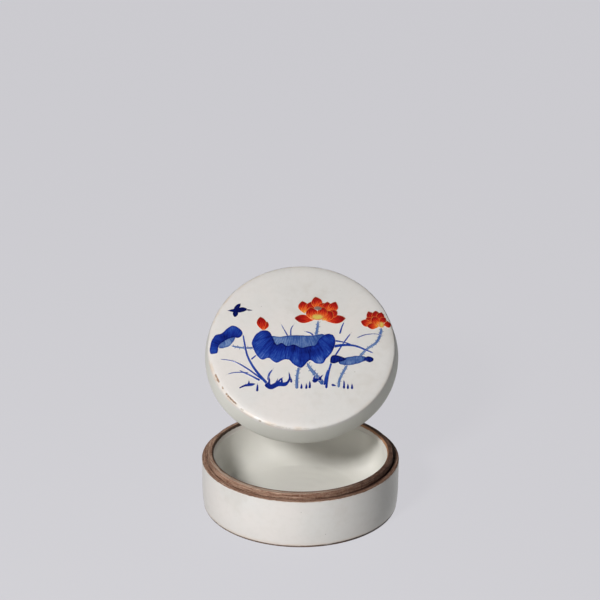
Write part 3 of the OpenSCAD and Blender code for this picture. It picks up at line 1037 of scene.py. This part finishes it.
def film(shapes, ink, layer, step, below=()):
    """One thin closed film over shapes that may overlap, laid on the lid's
    curved top. Each point takes its marks from the shape it lies deepest in,
    and "over" marks the points that lie on earlier paint, below."""
    outlines = [outline for outline, _ in shapes]
    low = np.min([outline.min(0) for outline in outlines], 0)
    high = np.max([outline.max(0) for outline in outlines], 0)
    xs = np.arange(low[0], high[0], step)
    ys = np.arange(low[1], high[1], step * 0.87)
    grid = np.array([(x + step / 2 * (j % 2), y)
                     for j, y in enumerate(ys) for x in xs])
    grid = grid[np.max([depth(grid, o) for o in outlines], 0) > step * 0.35]
    edges = []
    for outline in outlines:
        start = sum(len(o) for o in outlines[:len(edges)])
        n = len(outline)
        edges.append([(start + i, start + (i + 1) % n) for i in range(n)])
    made = delaunay_2d_cdt([Vector(p) for p in np.concatenate(
        outlines + [grid])], sum(edges, []), [], 0, 1e-5)
    flat = np.array([tuple(v) for v in made[0]])
    faces = np.array([tuple(f) for f in made[2]])
    middles = flat[faces].mean(1)
    faces = faces[np.any([is_inside(middles, o) for o in outlines], 0)]
    used, where = np.unique(faces, return_inverse=True)
    flat = flat[used]
    faces = where.reshape(faces.shape)
    depths = np.array([depth(flat, o) for o in outlines])
    owner = depths.argmax(0)
    rim = depths.max(0)
    base = lid_top(flat)
    top = base + layer * LAYER_T + FILM_T * (0.2 + smooth_step(rim / 0.3))
    upper = np.concatenate([flat, top[:, None]], 1)
    lower = np.concatenate([flat, (base - FILM_UNDER)[:, None]], 1)
    up = []
    for face in faces.tolist():
        a, b, c = (flat[i] for i in face)
        area = (b[0] - a[0]) * (c[1] - a[1]) - (b[1] - a[1]) * (c[0] - a[0])
        up.append(tuple(face) if area > 0 else tuple(face[::-1]))
    sides = {(i, k) for face in up for i, k in zip(face, face[1:] + face[:1])}
    count = len(flat)
    walls = [(k, i, i + count, k + count) for i, k in sides
             if (k, i) not in sides]
    down = [tuple(i + count for i in face[::-1]) for face in up]
    density = np.zeros(count)
    over = np.zeros(count)
    for outline in below:
        over = np.maximum(over, is_inside(flat, outline))
    stroke = np.zeros((count, 3))
    for i, (_, flow) in enumerate(shapes):
        mine = owner == i
        if not mine.any():
            continue
        across, along, share = flow(flat[mine])
        density[mine] = ink({"rim": rim[mine], "share": share,
                             "flat": flat[mine]}, i)
        stroke[mine] = np.stack([across, along, across * 0 + 7.3 * i], 1)
    return (np.concatenate([upper, lower]), up + down + walls,
            {"ink": np.tile(density, 2), "rim": np.tile(rim, 2),
             "over": np.tile(over, 2), "stroke": np.tile(stroke, (2, 1))})


def paint(name, layers, ink, finish, nodes, step=PAINT_STEP,
          first_layer=0, below=()):
    """One painted piece made of films, each laid over the one before it and
    over the shapes below. ink(marks, i) is the density in shape i."""
    below = [outline for outline, _ in below]
    points, faces, marks = [], [], []
    start = 0
    for i, shapes in enumerate(layers):
        p, f, m = film(shapes, ink if len(layers) == 1 else
                       (lambda found, _, i=i: ink(found, i)),
                       first_layer + i, step, below)
        below += [outline for outline, _ in shapes]
        points.append(p)
        faces += [tuple(k + start for k in face) for face in f]
        marks.append(m)
        start += len(p)
    joined = {key: np.concatenate([m[key] for m in marks])
              for key in marks[0]}
    obj = add_object(name, np.concatenate(points), faces, joined, LID_MATRIX)
    dress(obj, finish, "lid", nodes)


def dress(obj, finish, body, nodes):
    obj.data.materials.append(finish)
    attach(obj, body)
    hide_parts(*nodes)


def washed(base, spots, veins=()):
    """Density of a leaf: a base, soft spots, pooled edges, drawn veins."""
    lines = [open_curve(v) for v in veins]

    def ink(marks, _):
        flat = marks["flat"]
        density = np.full(len(flat), float(base))
        for x, y, radius, change in spots:
            away = np.hypot(flat[:, 0] - x, flat[:, 1] - y) / radius
            density += change * np.exp(-away**2)
        density += 0.22 * np.exp(-((marks["rim"] - 0.45) / 0.4)**2)
        for line in lines:
            away = np.sqrt(((flat[:, None] - line[None])**2).sum(2)).min(1)
            density += 0.22 * np.exp(-(away / 0.5)**2)
        return density
    return ink


def fading(first, last):
    """Density that runs from first to last along each stroke."""
    return lambda marks, _: first + (last - first) * marks["share"]


def petal_ink(spread):
    """Yellow at the base of a petal and deep red at its tip. The first
    spread petals lie open and are red almost down to the base."""
    def ink(marks, i):
        share = marks["share"]
        return 0.4 + 0.6 * share if i < spread else 0.05 + 0.95 * share
    return ink


def build_base():
    dress(base_shell(), BASE_GLAZE, "base", ["base_body"])
    dress(rim_ring(), IRON, "base", ["base_rim_band"])
    dress(foot_ring(), FOOT, "base", ["base_foot_ring"])


def build_lid():
    dress(lid_shell(), LID_GLAZE, "lid", ["lid_body"])
    dress(lid_mouth_edge(), IRON, "lid", ["lid_mouth_band"])


def build_painting():
    linings = [leaf(MAIN_LINING, (-2, 26)), leaf(LEFT_LINING, (-44, 10)),
               leaf(RIGHT_LINING, (30, 8))]
    large = [petal(*s) for s in LARGE_PETALS]
    small = [petal(*s) for s in SMALL_PETALS]
    paint("lotus_stems",
          [[brush_line(*s) for s in STEMS]
           + [t for s in STEMS for t in prickles(*s)]],
          fading(0.5, 0.42), COBALT_PALE, ["painted_stems"])
    paint("reeds", [[brush_line(*s) for s in REEDS]], fading(0.52, 0.36),
          COBALT_LINE, ["painted_reeds"], first_layer=1)
    paint("water_grass",
          [[brush_line(*s) for s in BANK_LINES]
           + [blade(*s) for s in BANK_BLADES]],
          fading(0.76, 0.6), COBALT_LINE,
          ["painted_water_grass"], first_layer=2)
    paint("leaf_linings", [linings], washed(0.56, LINING_WASH), COBALT_PALE,
          ["painted_leaf_linings"], first_layer=3)
    paint("main_leaf", [[leaf(MAIN_LEAF, (-3, 20))]],
          washed(0.47, MAIN_WASH, MAIN_VEINS), COBALT_LEAF,
          ["painted_main_leaf"], first_layer=4, below=linings)
    paint("left_leaf", [[leaf(LEFT_LEAF, (-41, -4))]],
          washed(0.5, LEFT_WASH), COBALT_LEAF,
          ["painted_left_leaf"], first_layer=4, below=linings)
    paint("right_leaf",
          [[leaf(RIGHT_LEAF, (20, 0)), leaf(RIGHT_KNOB, (37, 0))]],
          washed(0.82, []), COBALT_LEAF,
          ["painted_right_leaf"], first_layer=4, below=linings)
    paint("large_bloom", [[one] for one in large], petal_ink(2), PETAL_RED,
          ["painted_large_bloom"], PETAL_STEP, 1)
    paint("small_bloom", [[one] for one in small], petal_ink(5), PETAL_RED,
          ["painted_small_bloom"], PETAL_STEP, 1)
    paint("lotus_bud", [[petal(*s)] for s in BUD_PETALS], petal_ink(2),
          PETAL_RED, ["painted_bud"], PETAL_STEP, 5)
    paint("bloom_hearts", [[spot(*s) for s in HEARTS]], fading(0, 1),
          HEART_YELLOW, ["painted_bloom_hearts"],
          PETAL_STEP, 13, large + small)
    paint("seed_pod", [[spot(*SEED_POD)]], fading(0, 1), POD_GREY,
          ["painted_seed_pod"], PETAL_STEP, 13, large)
    paint("bird", [[petal(*s) for s in BIRD_PARTS]], fading(1.0, 1.06),
          COBALT_LINE, ["painted_bird"], PETAL_STEP, 1)


# ---- stage, camera and light ----

PAPER = linear(207, 206, 211)
FLOOR_DIFFUSE = 0.06
FLOOR_GLOW = 0.955
# Every pose's camera has to reach the far side of the dome
SKY_R = 6000
FILL_FLOOR = 0.5
FILL_BACKDROP = 0.1
FILL_ROOM = 0.045


def paper(name, diffuse, glow):
    f = Finish(name)
    f.shader.inputs["Base Color"].default_value = (diffuse,) * 3 + (1,)
    f.shader.inputs["Roughness"].default_value = 1
    f.shader.inputs["Specular IOR Level"].default_value = 0
    f.shader.inputs["Emission Color"].default_value = PAPER
    f.shader.inputs["Emission Strength"].default_value = glow
    return f.material


def build_stage():
    """A plain pale floor that mostly glows, so that shadows stay faint, and
    a dome of the same colour. The world's fill stands for their light."""
    arc = np.radians(np.arange(0, 91, 6))
    sky = np.stack([SKY_R * np.cos(arc), SKY_R * np.sin(arc)], 1)
    sky[-1, 0] = 0
    floor = turned("floor", [(0, -1), (SKY_R, -1), (SKY_R, 0), (0, 0)], 64)
    floor.data.materials.append(paper("floor_paper", FLOOR_DIFFUSE, FLOOR_GLOW))
    backdrop = turned("backdrop", np.concatenate(
        [[(SKY_R, 0), (SKY_R * 1.01, 0)], sky * 1.01, [(0, SKY_R)],
         sky[-2:0:-1]]), 64)
    backdrop.data.materials.append(paper("backdrop_paper", 0, 1))
    for sheet in (floor, backdrop):
        sheet.visible_diffuse = False
        sheet.visible_glossy = False
        sheet.visible_shadow = False


def build_world():
    """Fill light: bright from the floor and the backdrop, dim from above."""
    world = bpy.data.worlds.new("studio")
    bpy.context.scene.world = world
    world.use_nodes = True
    n = Nodes(world.node_tree)
    toward = n.node("ShaderNodeTexCoord", {}).outputs["Generated"]
    axes = n.node("ShaderNodeSeparateXYZ", {0: toward}).outputs
    below = n.spread(axes[2], 0.1, -0.6, 0, FILL_FLOOR)
    behind = n.spread(axes[1], 0.5, 0.95, 0, FILL_BACKDROP)
    fill = n.math("ADD", n.math("ADD", below, behind), FILL_ROOM)
    background = n.tree.nodes["Background"]
    background.inputs["Color"].default_value = (1, 1, 1, 1)
    n.put(fill, background.inputs["Strength"])


def area_light(name, place, target, size, power, colour):
    data = bpy.data.lights.new(name, "AREA")
    data.shape = "DISK"
    data.size = size
    data.energy = power
    data.color = colour
    light = bpy.data.objects.new(name, data)
    light.location = place
    toward = Vector(target) - Vector(place)
    light.rotation_mode = "QUATERNION"
    light.rotation_quaternion = toward.to_track_quat("-Z", "Y")
    bpy.context.scene.collection.objects.link(light)


KEY_PLACE = (-0.356, -0.617, 0.541)
KEY_TARGET = (0, 0, 0.06)
KEY_SIZE = 0.18
KEY_POWER = 6.75
KEY_COLOUR = (1, 0.99, 0.98)
CAMERA_TARGET = Vector((-0.0006, 0, 0.12117))
CAMERA_DISTANCE = 0.9
CAMERA_RISE = math.radians(21.35)
CAMERA_ROLL = math.radians(0.26)
CAMERA_LENS = 100.11


def build_camera():
    data = bpy.data.cameras.new("camera")
    data.lens = CAMERA_LENS
    data.sensor_width = 36
    data.clip_start = 0.05
    camera = bpy.data.objects.new("camera", data)
    back = Vector((0, -math.cos(CAMERA_RISE), math.sin(CAMERA_RISE)))
    camera.matrix_world = (
        Matrix.Translation(CAMERA_TARGET + back * CAMERA_DISTANCE)
        @ Matrix.Rotation(math.pi / 2 - CAMERA_RISE, 4, "X")
        @ Matrix.Rotation(CAMERA_ROLL, 4, "Z")
    )
    bpy.context.scene.collection.objects.link(camera)
    bpy.context.scene.camera = camera


build_camera()
build_stage()
build_world()
area_light("key", KEY_PLACE, KEY_TARGET, KEY_SIZE, KEY_POWER, KEY_COLOUR)
build_base()
build_lid()
build_painting()
bpy.context.scene.view_settings.view_transform = "Standard"
